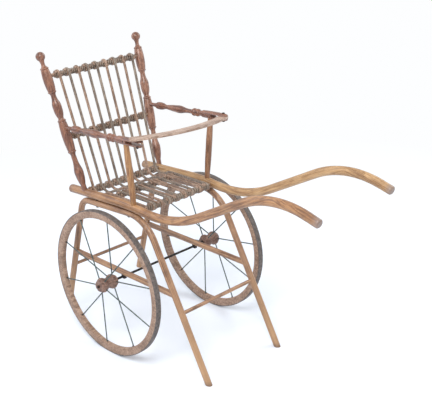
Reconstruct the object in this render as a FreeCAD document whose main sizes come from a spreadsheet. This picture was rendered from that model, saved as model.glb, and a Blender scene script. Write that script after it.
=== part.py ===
"""Child's push cart of bent and turned wood: a caned seat on two spoked wheels.

Millimetres. +X runs forward to the handles, +Y to the left, +Z up. While the pieces are drawn,
the wheel axle is at x = 0 and the floor at z = 0. The last step moves every piece along X, so that
the origin ends up under the middle of the whole cart.
"""
import FreeCAD, Part
import math
import os

import Sketcher

SIZES = [
    # Wheels and axle
    ("wheel_radius", 254.0, "outside of the iron tyre, also the height of the axle"),
    ("wheel_outset", 74.6, "from the middle line of a shaft out to the middle of its wheel"),
    ("tyre_thickness", 3.0, "iron band round the rim"),
    ("rim_width", 19.0, "wooden rim, across the wheel"),
    ("rim_depth", 24.0, "wooden rim, along the radius"),
    ("rim_rounding", 6.0, "radius of the inner corners of the rim"),
    ("hub_length", 68.0, "turned hub, end to end"),
    ("hub_end_radius", 18.5, "hub at its flat ends"),
    ("hub_end_length", 6.0, "turned band at each end of the hub"),
    ("hub_bulge_radius", 25.0, "both swellings that hold the spokes"),
    ("hub_bulge_length", 8.0, "from the top of a swelling to its inner shoulder"),
    ("hub_waist_radius", 17.0, "hub between the swellings"),
    ("hub_bulge_offset", 22.0, "from the middle of the hub to a swelling"),
    ("spoke_radius", 2.0, "wire spoke"),
    ("spoke_root", 8.0, "depth that a spoke goes into a swelling of the hub"),
    ("spoke_count", 10.0, "spokes in one wheel"),
    ("left_spoke_turn", 12.5, "degrees that the left wheel is turned"),
    ("right_spoke_turn", 49.9, "degrees that the right wheel is turned"),
    ("axle_radius", 4.0, "iron rod"),
    ("hub_clearance", 0.1, "between the axle and the bore of a hub"),
    ("collar_radius", 8.0, "collars that keep the wheels in place"),
    ("collar_length", 4.0, "one collar, along the axle"),
    ("side_play", 0.8, "between a hub and its collar or nut"),
    ("nut_radius", 5.8, "nut, across its corners"),
    ("nut_length", 3.5, "nut, along the axle"),
    ("thread_length", 1.5, "end of the axle past its nut"),
    ("clip_width", 14.0, "iron clip that ties the axle to a rail, along the rail"),
    ("clip_depth", 11.0, "that clip, across the rail"),
    ("clip_lap", 4.0, "how far the clip laps up the rail"),
    # Shafts
    ("shaft_spacing", 333.4, "between the middle lines of the two shafts"),
    ("shaft_radius", 14.5, "bent shaft"),
    ("shaft_rear_x", -253.0, "rear end of a shaft, without its rounded cap"),
    ("shaft_rear_z", 505.0, "rear end of a shaft"),
    ("shaft_bow_x", 35.0, "shallow bow over the axle"),
    ("shaft_bow_z", 523.0, "shallow bow over the axle"),
    ("shaft_bow_bend", 900.0, "bend radius of the bow"),
    ("shaft_dip_x", 249.5, "where the shaft turns upwards"),
    ("shaft_dip_z", 508.0, "where the shaft turns upwards"),
    ("shaft_dip_bend", 450.0, "bend radius there"),
    ("shaft_crest_x", 655.0, "where the shaft turns down to the grip"),
    ("shaft_crest_z", 728.0, "where the shaft turns down to the grip"),
    ("shaft_crest_bend", 330.0, "bend radius there"),
    ("shaft_tip_x", 824.0, "tip of the grip"),
    ("shaft_tip_z", 683.0, "tip of the grip"),
    ("grip_radius", 14.2, "straight grip, worn a little thinner than the shaft"),
    ("grip_root", 3.0, "how far the grip and the rear cap start inside the bent part"),
    ("grip_length", 40.0, "straight round grip at the front of a shaft"),
    ("grip_rounding", 6.0, "rounded end of the grip, along it"),
    ("cap_length", 5.0, "rounded rear end of a shaft"),
    # Leg frames
    ("leg_radius", 11.0, "bent leg frame"),
    ("leg_rear_x", -311.0, "lower end of the rear leg"),
    ("leg_rear_z", 71.0, "lower end of the rear leg, clear of the floor"),
    ("leg_back_x", -199.4, "upper rear corner of the frame"),
    ("leg_back_bend", 48.0, "bend radius of that corner"),
    ("leg_front_x", 121.0, "upper front corner of the frame"),
    ("leg_front_bend", 130.0, "bend radius of that corner"),
    ("leg_foot_x", 397.0, "foot of the front leg"),
    ("leg_foot_trim", 20.0, "length cut off below the floor"),
    ("leg_shaft_gap", 3.0, "between the top of a frame and the shaft over it"),
    ("frame_bolt_radius", 4.0, "iron bolts that tie a frame to its shaft"),
    ("frame_bolt_rear_x", -120.0, "rear bolt"),
    ("frame_bolt_front_x", 40.0, "front bolt"),
    # Rails between the legs
    ("side_rail_radius", 10.0, "rail that carries the axle"),
    ("front_stretcher_radius", 6.3, "rod between the front legs"),
    ("front_stretcher_z", 213.0, "height of that rod"),
    ("rear_stretcher_radius", 5.8, "rod between the rear legs"),
    ("rear_stretcher_z", 209.5, "height of that rod"),
    # Turned stiles of the back
    ("stile_foot_x", -176.0, "where a stile stands on its shaft"),
    ("stile_foot_out", 3.5, "how far outside the middle of the shaft that is"),
    ("stile_length", 476.0, "from the middle of the shaft to the middle of the ball"),
    ("stile_lean", 18.0, "degrees that the stiles lean back"),
    ("stile_splay", 4.8, "degrees that the stiles lean outwards"),
    ("stile_barrel_radius", 16.5, "long barrels"),
    ("stile_swell_radius", 15.0, "egg-shaped swellings"),
    ("stile_neck_radius", 8.8, "necks between them"),
    ("stile_ring_radius", 14.5, "narrow rings"),
    ("stile_ball_radius", 15.8, "ball on top"),
    # Rails of the back and the seat
    ("rail_radius", 6.5, "round rails that carry the canes"),
    ("top_rail_z", 897.0, "upper rail of the back"),
    ("middle_rail_z", 698.0, "middle rail of the back"),
    ("back_rail_x", -169.0, "lower rail of the back, between the shafts"),
    ("back_rail_z", 515.0, "lower rail of the back"),
    ("seat_middle_x", -63.0, "rail under the middle of the seat"),
    ("seat_middle_z", 515.0, "rail under the middle of the seat"),
    ("seat_front_x", 95.0, "rail at the front edge of the seat"),
    ("seat_front_z", 517.0, "rail at the front edge of the seat"),
    # Canes
    ("cane_radius", 4.6, "one cane"),
    ("cane_count", 9.0, "canes that run from the back into the seat"),
    ("cane_top_step", 40.0, "spacing along the upper rail"),
    ("cane_right_gap", 0.6, "between the last cane on the right and its shaft, in the seat"),
    ("cane_left_gap", 15.4, "the same on the left, where the canes have shifted"),
    ("cane_back_bend", 38.0, "bend radius where a cane leaves the back"),
    ("cane_seat_bend", 70.0, "bend radius where a cane reaches the seat"),
    ("infill_radius", 3.6, "short canes between the long ones"),
    ("cane_gap", 0.3, "between a cane and a rail that it passes"),
    ("cane_sag", 24.0, "how far the canes dip behind the seat"),
    ("cane_tail", 4.0, "end of a cane past the middle of the rail that it hooks over"),
    # Arms and their posts
    ("arm_rear_z", 731.0, "height of an arm where it meets its stile"),
    ("arm_tip_x", 143.0, "tip of an arm"),
    ("arm_rise", 4.0, "degrees that the arms rise to the front"),
    ("arm_barrel_radius", 13.5, "barrel that carries the fork"),
    ("arm_swell_radius", 13.0, "swellings of an arm"),
    ("arm_neck_radius", 7.8, "necks of an arm"),
    ("arm_shoulder", 6.0, "rounded shoulder at the rear of that barrel"),
    ("fork_depth", 63.0, "slot in the tip of an arm"),
    ("fork_root", 50.0, "from the rear of the barrel to the bottom of the slot"),
    ("post_foot_x", 68.0, "where an arm post stands on its shaft"),
    ("post_root", 2.0, "how far an arm post starts below the middle of its shaft"),
    ("post_end_radius", 9.0, "ends of an arm post"),
    ("post_swell_radius", 10.8, "middle of an arm post"),
    # Guard bar
    ("guard_width", 32.0, "bent board across the front"),
    ("guard_thickness", 8.0, "bent board across the front"),
    ("guard_bow", 38.0, "how far its middle stands in front of its ends"),
    ("guard_overhang", 16.0, "past the middle of the right arm"),
    ("guard_clearance", 0.6, "between the board and the fork or the arm"),
    ("guard_pin_inset", 15.0, "from the tip of the left arm back to the pin"),
    ("guard_pin_radius", 3.0, "pin that the guard bar turns on"),
    ("guard_pin_play", 0.3, "between that pin and the guard bar"),
    ("guard_head_radius", 5.5, "heads of that pin"),
    ("guard_head_height", 2.5, "heads of that pin"),
]

SIDES = {"left": 1, "right": -1}

# Share of a quarter circle's radius by which the arc stands off its chord
QUARTER_SAGITTA = 1 - math.sqrt(0.5)

# Outlines of the turned pieces. Each line is a height, the name of a radius, how much slimmer the
# piece is there, and how far the outline swells (or, below 0, dips) since the line before.
STILE_DRAWN_LENGTH = 476.0
STILE_OUTLINE = [
    (0, "neck", 0.0, 0.0),
    (30, "neck", 0.0, 0.0),
    (64, "swell", 0.0, 1.2),
    (88, "swell", 1.5, 1.2),
    (128, "neck", 0.0, -1.6),
    (144, "ring", 2.0, -2.0),
    (150, "ring", 2.0, 2.0),
    (154, "barrel", 3.0, 0.0),
    (250, "barrel", 3.0, 3.0),
    (252, "ring", 2.0, 0.0),
    (258, "ring", 2.0, 2.0),
    (266, "neck", -0.8, -1.0),
    (300, "swell", 0.0, 2.0),
    (318, "swell", 1.5, 1.0),
    (343, "neck", 0.0, -1.2),
    (352, "ring", 2.0, -1.0),
    (358, "ring", 2.0, 2.0),
    (360, "barrel", 2.8, 0.0),
    (430, "barrel", 2.8, 2.8),
    (432, "ring", 2.0, 0.0),
    (438, "ring", 2.0, 2.0),
    (448, "neck", 2.0, -1.5),
]
# Degrees from the top of the ball at which its outline has points
BALL_ANGLES = [143.0, 90.0, 26.0, 6.0]
BALL_NECK_DIP = -1.0

ARM_DRAWN_LENGTH = 258.0
ARM_OUTLINE = [
    (0, "neck", 1.5, 0.0),
    (30, "neck", 1.5, 0.0),
    (50, "swell", 0.8, -1.5),
    (78, "swell", 2.0, 1.5),
    (96, "neck", 0.0, -1.2),
    (140, "swell", 0.5, 0.6),
    (168, "swell", 1.5, 1.5),
    (206, "neck", 0.0, -1.5),
    (216, "swell", 2.0, -1.0),
    (228, "swell", 2.0, 2.5),
    (230, "swell", 2.5, -0.5),
    (244, "swell", 2.0, 2.5),
    (252, "neck", -1.5, -1.0),
    (258, "neck", -1.5, 0.0),
]


class Size:
    """A number together with the sheet formula that it comes from."""

    def __init__(self, value, text=None):
        self.value = float(value)
        self.text = text if text is not None else f"{self.value:.6g}"

    def __add__(self, other):
        other = as_size(other)
        return Size(self.value + other.value, f"({self.text} + {other.text})")

    def __sub__(self, other):
        other = as_size(other)
        return Size(self.value - other.value, f"({self.text} - {other.text})")

    def __mul__(self, other):
        other = as_size(other)
        return Size(self.value * other.value, f"({self.text} * {other.text})")

    def __truediv__(self, other):
        other = as_size(other)
        return Size(self.value / other.value, f"({self.text} / {other.text})")

    def __neg__(self):
        return Size(-self.value, f"(0 - {self.text})")

    __radd__ = __add__
    __rmul__ = __mul__

    def __rsub__(self, other):
        return as_size(other) - self


def as_size(number):
    return number if isinstance(number, Size) else Size(number)


def sine(angle):
    return Size(math.sin(math.radians(angle.value)), f"sin({angle.text})")


def cosine(angle):
    return Size(math.cos(math.radians(angle.value)), f"cos({angle.text})")


def tangent(angle):
    return Size(math.tan(math.radians(angle.value)), f"tan({angle.text})")


doc = FreeCAD.newDocument("Cart")
sheet = doc.addObject("Spreadsheet::Sheet", "Dimensions")
PARTS = {}


def fill_sheet():
    for row, (alias, value, note) in enumerate(SIZES, start=1):
        sheet.set(f"A{row}", note)
        sheet.set(f"B{row}", str(value))
        sheet.setAlias(f"B{row}", alias)
    doc.recompute()


def size(alias):
    return Size(getattr(sheet, alias), f"Dimensions.{alias}")


def bind(thing, path, amount):
    """Ties one property of an object to the sheet."""
    thing.setExpression(path, as_size(amount).text)


def vector(x, y, z):
    return FreeCAD.Vector(as_size(x).value, as_size(y).value, as_size(z).value)


def register(piece, label):
    """Names a finished sub-part; the name is also that of its file."""
    piece.Label = label
    PARTS[label] = piece
    return piece


def place(piece, base, turn=None):
    """Puts a piece at a point given as three sizes, which stay tied to the sheet."""
    piece.Placement = FreeCAD.Placement(vector(*base), turn or FreeCAD.Rotation())
    for axis, amount in zip("xyz", base):
        bind(piece, f"Placement.Base.{axis}", amount)
    return piece


def turn_to(direction):
    """The rotation that takes +Z to a direction."""
    return FreeCAD.Rotation(FreeCAD.Vector(0, 0, 1), direction)


# ---------------------------------------------------------------------------------------------
# Sketches
# ---------------------------------------------------------------------------------------------

def origin_plane(body, role):
    for feature in body.Origin.OriginFeatures:
        if feature.Role == role:
            return feature
    raise RuntimeError(f"{body.Label} has no {role}")


def new_body(label):
    body = doc.addObject("PartDesign::Body", label)
    body.Label = label
    return body


def new_sketch(body, role, name):
    sketch = body.newObject("Sketcher::SketchObject", f"{body.Name}_{name}")
    sketch.AttachmentSupport = (origin_plane(body, role), [""])
    sketch.MapMode = "FlatFace"
    doc.recompute()
    return sketch


def fix(sketch, kind, *where, amount):
    """Adds a driving constraint whose amount is tied to the sheet."""
    index = sketch.addConstraint(Sketcher.Constraint(kind, *where, as_size(amount).value))
    bind(sketch, f"Constraints[{index}]", amount)


def fix_point(sketch, geometry, end, across, along):
    """Ties a point of a sketch to its distances from the sketch's origin."""
    fix(sketch, "DistanceX", -1, 1, geometry, end, amount=across)
    fix(sketch, "DistanceY", -1, 1, geometry, end, amount=along)


def flat_point(corner):
    return FreeCAD.Vector(as_size(corner[0]).value, as_size(corner[1]).value, 0)


def circle_section(body, radius, pitch):
    """A circle about the body's own origin, across a path that starts at a pitch above +X."""
    sketch = new_sketch(body, "YZ_Plane", "section")
    across = FreeCAD.Rotation(FreeCAD.Vector(1, 0, 0), -pitch)
    sketch.AttachmentOffset = FreeCAD.Placement(FreeCAD.Vector(), across)
    edge = sketch.addGeometry(Part.Circle(FreeCAD.Vector(0, 0, 0), FreeCAD.Vector(0, 0, 1),
                                          radius.value), False)
    sketch.addConstraint(Sketcher.Constraint("Coincident", edge, 3, -1, 1))
    fix(sketch, "Radius", edge, amount=radius)
    return sketch


def rounded_path(sketch, corners, bends):
    """Straight stretches through the corners, joined by tangent arcs of the given bend radii."""
    points = [flat_point(corner) for corner in corners]
    reaches = [0.0]
    for index, bend in enumerate(bends, start=1):
        before = points[index - 1] - points[index]
        after = points[index + 1] - points[index]
        reaches.append(bend.value / math.tan(before.getAngle(after) / 2))
    reaches.append(0.0)
    lines = []
    for index in range(len(points) - 1):
        along = (points[index + 1] - points[index]).normalize()
        start = points[index] + along * reaches[index]
        end = points[index + 1] - along * reaches[index + 1]
        lines.append(sketch.addGeometry(Part.LineSegment(start, end), False))
    fix_point(sketch, lines[0], 1, *corners[0])
    fix_point(sketch, lines[-1], 2, *corners[-1])
    for index, bend in enumerate(bends, start=1):
        round_corner(sketch, lines[index - 1], lines[index], corners[index], bend)


def round_corner(sketch, before, after, corner, bend):
    """Joins two lines of a sketch with an arc; both lines aim at the corner."""
    start = sketch.getPoint(before, 2)
    end = sketch.getPoint(after, 1)
    peak = flat_point(corner)
    chord_middle = (start + end) * 0.5
    inward = (chord_middle - peak).normalize()
    half_chord = (end - start).Length / 2
    drop = bend.value - math.sqrt(bend.value ** 2 - half_chord ** 2)
    arc = Part.Arc(start, chord_middle - inward * drop, end)
    curve = sketch.addGeometry(arc, False)
    first_is_start = sketch.getPoint(curve, 1).distanceToPoint(start) < 0.01
    near, far = (1, 2) if first_is_start else (2, 1)
    mark = sketch.addGeometry(Part.Point(peak), True)
    fix_point(sketch, mark, 1, *corner)
    sketch.addConstraint([
        Sketcher.Constraint("PointOnObject", mark, 1, before),
        Sketcher.Constraint("PointOnObject", mark, 1, after),
        Sketcher.Constraint("Tangent", before, 2, curve, near),
        Sketcher.Constraint("Tangent", after, 1, curve, far),
    ])
    fix(sketch, "Radius", curve, amount=bend)


def bent_rod(label, radius, corners, bends):
    """A round rod in the XZ plane whose path starts at the body's own origin."""
    body = new_body(label)
    path = new_sketch(body, "XZ_Plane", "path")
    rounded_path(path, corners, bends)
    run, rise = unit_step(corners[0], corners[1])
    pitch = math.degrees(math.atan2(rise.value, run.value))
    section = circle_section(body, radius, pitch)
    pipe = body.newObject("PartDesign::AdditivePipe", f"{label}_pipe")
    pipe.Profile = (section, [""])
    pipe.Spine = (path, [])
    section.Visibility = False
    doc.recompute()
    return body


def turned(label, profile, bore=None):
    """A turned piece about its own Z axis.

    The profile holds (height, radius, sagitta) stations. The sagitta is that of the arc from the
    station before: outwards if positive, hollow if negative, and 0 for a straight line.
    """
    body = new_body(label)
    sketch = new_sketch(body, "XZ_Plane", "profile")
    inner = bore if bore is not None else Size(0.0)
    bottom = (inner, profile[0][0])
    top = (inner, profile[-1][0])
    corners = [bottom] + [(station[1], station[0]) for station in profile] + [top]
    bulges = [0.0] + [station[2] for station in profile[1:]] + [0.0, 0.0]
    closed_outline(sketch, corners, bulges)
    return revolved(body, sketch)


def revolved(body, sketch):
    """Turns a sketch of the XZ plane about the body's own Z axis."""
    revolution = body.newObject("PartDesign::Revolution", f"{body.Name}_turning")
    revolution.Profile = sketch
    revolution.ReferenceAxis = (sketch, ["V_Axis"])
    revolution.Angle = 360.0
    doc.recompute()
    return body


def closed_outline(sketch, corners, bulges):
    """Joins corners in a ring; each bulge is how far the edge from its corner stands outwards."""
    edges = []
    for index, bulge in enumerate(bulges):
        following = corners[(index + 1) % len(corners)]
        edges.append(outline_edge(sketch, corners[index], following, as_size(bulge)))
    for index, (edge, first, last) in enumerate(edges):
        following, next_first, _ = edges[(index + 1) % len(edges)]
        sketch.addConstraint(Sketcher.Constraint("Coincident", edge, last, following, next_first))
        fix_point(sketch, edge, first, *corners[index])


def outline_edge(sketch, start, end, bulge):
    """Adds a line or an arc and returns it with the numbers of its first and last points."""
    head = flat_point(start)
    tail = flat_point(end)
    if bulge.value == 0:
        return sketch.addGeometry(Part.LineSegment(head, tail), False), 1, 2
    chord = tail - head
    outward = FreeCAD.Vector(chord.y, -chord.x, 0).normalize()
    middle = (head + tail) * 0.5 + outward * bulge.value
    edge = sketch.addGeometry(Part.Arc(head, middle, tail), False)
    half_chord = chord.Length / 2
    rise = abs(bulge.value)
    fix(sketch, "Radius", edge, amount=(half_chord ** 2 + rise ** 2) / (2 * rise))
    if sketch.getPoint(edge, 1).distanceToPoint(head) < 0.001:
        return edge, 1, 2
    return edge, 2, 1


def outline(family, lines, stretch):
    """Stations of a turned piece from the lines of its outline, which name its own radii."""
    return [(stretch * height, size(f"{family}_{name}_radius") - slimmer, swell)
            for height, name, slimmer, swell in lines]


# ---------------------------------------------------------------------------------------------
# Simple solids and cuts
# ---------------------------------------------------------------------------------------------

def rod(label, radius, length):
    """A straight round rod along its own Z axis."""
    piece = doc.addObject("Part::Cylinder", label)
    bind(piece, "Radius", radius)
    bind(piece, "Height", length)
    return piece


def block(label, width, depth, height):
    piece = doc.addObject("Part::Box", label)
    bind(piece, "Length", width)
    bind(piece, "Width", depth)
    bind(piece, "Height", height)
    return piece


def without(label, base, tools):
    """A piece coped to the pieces that it runs into, one after another."""
    for number, tool in enumerate(tools, start=1):
        cut = doc.addObject("Part::Cut", f"{label}_{number}")
        cut.Base = base
        cut.Tool = tool
        cut.Refine = True
        base = cut
    doc.recompute()
    return base


def cross_rod(label, radius, reach, x, z, tools):
    """A rod along Y between the two sides, coped to the pieces that carry it."""
    blank = rod(f"{label}_blank", radius, 2 * reach)
    place(blank, (x, -reach, z), FreeCAD.Rotation(FreeCAD.Vector(1, 0, 0), -90))
    return register(without(f"{label}_cut", blank, tools), label)


# ---------------------------------------------------------------------------------------------
# Shafts, legs and rails
# ---------------------------------------------------------------------------------------------

def half_spacing():
    return size("shaft_spacing") / 2


def make_shaft(side, sign):
    start = (size("shaft_rear_x"), size("shaft_rear_z"))
    names = ["rear", "bow", "dip", "crest", "tip"]
    places = [(size(f"shaft_{name}_x"), size(f"shaft_{name}_z")) for name in names]
    along = unit_step(places[-2], places[-1])
    grip = size("grip_length")
    places[-1] = (places[-1][0] - along[0] * grip, places[-1][1] - along[1] * grip)
    corners = [(x - start[0], z - start[1]) for x, z in places]
    bends = [size(f"shaft_{name}_bend") for name in names[1:-1]]
    pipe = bent_rod(f"shaft_{side}_pipe", size("shaft_radius"), corners, bends)
    place(pipe, (start[0], sign * half_spacing(), start[1]))
    ends = [
        shaft_end(f"grip_{side}", grip, size("grip_rounding"), places[-1], along, sign),
        shaft_end(f"cap_{side}", size("cap_length"), size("cap_length"), start,
                  unit_step(places[1], start), sign),
    ]
    shaft = doc.addObject("Part::MultiFuse", f"shaft_{side}_whole")
    shaft.Shapes = [pipe] + ends
    doc.recompute()
    return register(shaft, f"shaft_{side}")


def unit_step(start, end):
    """The direction from one point of the XZ plane to another, as two sizes."""
    run = end[0] - start[0]
    rise = end[1] - start[1]
    length = math.hypot(run.value, rise.value)
    return (run / length, rise / length)


def shaft_end(label, length, rounding, start, along, sign):
    """A straight round end of a shaft, rounded over at its tip."""
    radius = size("grip_radius")
    profile = [
        (-size("grip_root"), radius, 0),
        (length - rounding, radius, 0),
        (length, radius - rounding * 0.9, rounding * 0.25),
    ]
    end = turned(label, profile)
    direction = vector(along[0], 0, along[1])
    return place(end, (start[0], sign * half_spacing(), start[1]), turn_to(direction))


def shaft_height(x):
    """Height of a shaft's middle line on its straight rear stretch."""
    rise = size("shaft_bow_z") - size("shaft_rear_z")
    run = size("shaft_bow_x") - size("shaft_rear_x")
    return size("shaft_rear_z") + (x - size("shaft_rear_x")) * rise / run


def leg_top_z(x):
    """Height of a frame's top run, which lies close under the shaft and parallel to it."""
    gap = size("shaft_radius") + size("leg_shaft_gap") + size("leg_radius")
    return shaft_height(x) - gap


def make_leg_frame(side, sign):
    start = (size("leg_rear_x"), size("leg_rear_z"))
    below = size("leg_foot_trim")
    back = (size("leg_back_x"), leg_top_z(size("leg_back_x")))
    front = (size("leg_front_x"), leg_top_z(size("leg_front_x")))
    slope = (size("leg_foot_x") - front[0]) / front[1]
    corners = [
        start,
        back,
        front,
        (size("leg_foot_x") + slope * below, -below),
    ]
    corners = [(x - start[0], z - start[1]) for x, z in corners]
    bends = [size("leg_back_bend"), size("leg_front_bend")]
    frame = bent_rod(f"leg_frame_{side}", size("leg_radius"), corners, bends)
    trim_foot(frame, start)
    place(frame, (start[0], sign * half_spacing(), start[1]))
    return register(frame, f"leg_frame_{side}")


def trim_foot(frame, start):
    """Cuts the front foot flat at the floor."""
    sketch = new_sketch(frame, "XZ_Plane", "floor")
    foot = size("leg_foot_x") - start[0]
    reach = 3 * size("leg_radius") + size("leg_foot_trim")
    floor = -start[1]
    corners = [(foot - reach, floor - reach), (foot + reach, floor - reach),
               (foot + reach, floor), (foot - reach, floor)]
    closed_outline(sketch, corners, [0, 0, 0, 0])
    pocket = frame.newObject("PartDesign::Pocket", f"{frame.Name}_foot")
    pocket.Profile = sketch
    pocket.Type = 1
    pocket.Midplane = True
    doc.recompute()


def leg_x(front, z):
    """Where the straight part of a leg is at a height."""
    if front:
        top = leg_top_z(size("leg_front_x"))
        run = size("leg_foot_x") - size("leg_front_x")
        return size("leg_front_x") + (top - z) * run / top
    top = leg_top_z(size("leg_back_x"))
    run = size("leg_back_x") - size("leg_rear_x")
    return size("leg_back_x") - (top - z) * run / (top - size("leg_rear_z"))


def axle_z():
    return size("wheel_radius")


def side_rail_z():
    return axle_z() + size("axle_radius") + size("side_rail_radius")


def make_side_rail(side, sign):
    z = side_rail_z()
    rear = leg_x(False, z)
    front = leg_x(True, z)
    blank = rod(f"side_rail_{side}_blank", size("side_rail_radius"), front - rear)
    place(blank, (rear, sign * half_spacing(), z), FreeCAD.Rotation(FreeCAD.Vector(0, 1, 0), 90))
    rail = without(f"side_rail_{side}_cut", blank, [PARTS[f"leg_frame_{side}"]])
    return register(rail, f"side_rail_{side}")


def make_frame_bolts(side, sign):
    """Bolts across the gap between a leg frame and the shaft over it."""
    bolts = []
    for end in ("rear", "front"):
        x = size(f"frame_bolt_{end}_x")
        bolt = rod(f"frame_bolt_{side}_{end}", size("frame_bolt_radius"),
                   shaft_height(x) - leg_top_z(x))
        bolts.append(place(bolt, (x, sign * half_spacing(), leg_top_z(x))))
    pair = doc.addObject("Part::Compound", f"frame_bolts_{side}_blank")
    pair.Links = bolts
    carriers = [PARTS[f"shaft_{side}"], PARTS[f"leg_frame_{side}"]]
    bolts = without(f"frame_bolts_{side}_cut", pair, carriers)
    return register(bolts, f"frame_bolts_{side}")


def make_stretchers():
    legs = [PARTS["leg_frame_left"], PARTS["leg_frame_right"]]
    for name, front in (("front", True), ("rear", False)):
        z = size(f"{name}_stretcher_z")
        cross_rod(f"{name}_stretcher", size(f"{name}_stretcher_radius"), half_spacing(),
                  leg_x(front, z), z, legs)


# ---------------------------------------------------------------------------------------------
# Back
# ---------------------------------------------------------------------------------------------

def stile_direction(sign):
    """Unit vector up a stile, as three sizes."""
    lean = tangent(size("stile_lean"))
    splay = tangent(size("stile_splay"))
    length = math.sqrt(1 + lean.value ** 2 + splay.value ** 2)
    return (-lean / length, sign * splay / length, Size(1.0) / length)


def stile_foot(sign):
    x = size("stile_foot_x")
    return (x, sign * (half_spacing() + size("stile_foot_out")), shaft_height(x))


def stile_point(sign, z):
    """The point of a stile's middle line at a height."""
    foot = stile_foot(sign)
    climb = z - foot[2]
    return (foot[0] - climb * tangent(size("stile_lean")),
            foot[1] + sign * climb * tangent(size("stile_splay")), z)


def ball_stations(middle, ball):
    """Stations up a ball, from its neck to the small flat on its top."""
    stations = []
    for index, angle in enumerate(BALL_ANGLES):
        swell = BALL_NECK_DIP
        if index > 0:
            half = math.radians(BALL_ANGLES[index - 1] - angle) / 2
            swell = ball.value * (1 - math.cos(half))
        turn = math.radians(angle)
        stations.append((middle + ball * math.cos(turn), ball * math.sin(turn), swell))
    return stations


def stile_profile():
    """Stations up a stile, from inside the shaft to the top of its ball."""
    length = size("stile_length")
    lower = outline("stile", STILE_OUTLINE, length / STILE_DRAWN_LENGTH)
    return lower + ball_stations(length, size("stile_ball_radius"))


def make_stile(side, sign):
    blank = turned(f"stile_{side}_blank", stile_profile())
    place(blank, stile_foot(sign), turn_to(vector(*stile_direction(sign))))
    stile = without(f"stile_{side}_cut", blank, [PARTS[f"shaft_{side}"]])
    return register(stile, f"stile_{side}")


def make_back_rails():
    stiles = [PARTS["stile_left"], PARTS["stile_right"]]
    for name in ("top", "middle"):
        x, reach, z = stile_point(1, size(f"{name}_rail_z"))
        cross_rod(f"{name}_rail", size("rail_radius"), reach, x, z, stiles)
    shafts = [PARTS["shaft_left"], PARTS["shaft_right"]]
    for name, place_name in (("lower_back_rail", "back_rail"), ("seat_middle_rail", "seat_middle"),
                             ("seat_front_rail", "seat_front")):
        cross_rod(name, size("rail_radius"), half_spacing(), size(f"{place_name}_x"),
                  size(f"{place_name}_z"), shafts)


# ---------------------------------------------------------------------------------------------
# Canes
# ---------------------------------------------------------------------------------------------

def rounded_wire(corners, bends):
    """A wire of straight stretches joined by tangent arcs, through corners in space."""
    edges = []
    last = corners[0]
    for index, bend in enumerate(bends, start=1):
        corner = corners[index]
        to_last = (corners[index - 1] - corner).normalize()
        to_next = (corners[index + 1] - corner).normalize()
        half = to_last.getAngle(to_next) / 2
        reach = bend / math.tan(half)
        start = corner + to_last * reach
        end = corner + to_next * reach
        middle_way = (to_last + to_next).normalize()
        peak = corner + middle_way * (bend / math.sin(half) - bend)
        if last.distanceToPoint(start) > 0.001:
            edges.append(Part.makeLine(last, start))
        edges.append(Part.Arc(start, peak, end).toShape())
        last = end
    edges.append(Part.makeLine(last, corners[-1]))
    return Part.Wire(edges)


def swept_rod(wire, radius):
    start = wire.Edges[0].firstVertex().Point
    along = wire.Edges[0].tangentAt(wire.Edges[0].FirstParameter)
    section = Part.Wire([Part.makeCircle(radius, start, along)])
    return wire.makePipeShell([section], True, True)


def cane_offset():
    """From the middle of a rail to the middle of a cane that passes it."""
    return (size("rail_radius") + size("cane_gap") + size("cane_radius")).value


def seat_cane_y(number):
    """Where a cane lies across the seat, counted from the right shaft."""
    inside = half_spacing() - size("shaft_radius") - size("cane_radius")
    right = size("cane_right_gap") - inside
    left = inside - size("cane_left_gap")
    return (right + (left - right) * number / (size("cane_count") - 1)).value


def cane_corners(number):
    """Corners of one cane, from its tail behind the upper rail to the one under the seat."""
    middle = (size("cane_count").value - 1) / 2
    top_y = (number - middle) * size("cane_top_step").value
    seat_y = seat_cane_y(number)
    x_top, _, z_top = [part.value for part in stile_point(1, size("top_rail_z"))]
    x_low, z_low = size("back_rail_x").value, size("back_rail_z").value
    clear = cane_offset()
    down = FreeCAD.Vector(x_low - x_top, 0, z_low - z_top).normalize()
    front = FreeCAD.Vector(-down.z, 0, down.x)
    top = FreeCAD.Vector(x_top, top_y, z_top)
    tail = size("cane_tail").value
    bottom = z_low - size("cane_sag").value
    seat_x = size("seat_middle_x").value
    seat_z = size("seat_middle_z").value + clear
    front_x = size("seat_front_x").value
    front_z = size("seat_front_z").value + clear
    foot = FreeCAD.Vector(x_low, seat_y, z_low) + front * clear
    foot += down * ((foot.z - bottom) / -down.z)
    return [
        top - front * clear + down * tail,
        top - front * clear - down * clear,
        top + front * clear - down * clear,
        foot,
        FreeCAD.Vector(seat_x - clear * 2, seat_y, seat_z),
        FreeCAD.Vector(front_x + clear, seat_y, front_z),
        FreeCAD.Vector(front_x + clear, seat_y, front_z - clear - tail),
    ]


def make_canes():
    clear = cane_offset()
    hook = clear - 0.1
    radius = size("cane_radius").value
    bends = [hook, hook, size("cane_back_bend").value, size("cane_seat_bend").value, hook]
    for number in range(int(size("cane_count").value)):
        wire = rounded_wire(cane_corners(number), bends)
        cane = doc.addObject("Part::Feature", f"cane_{number + 1}")
        cane.Shape = swept_rod(wire, radius)
        cane.Placement = FreeCAD.Placement()
        register(cane, f"cane_{number + 1}")


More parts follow.
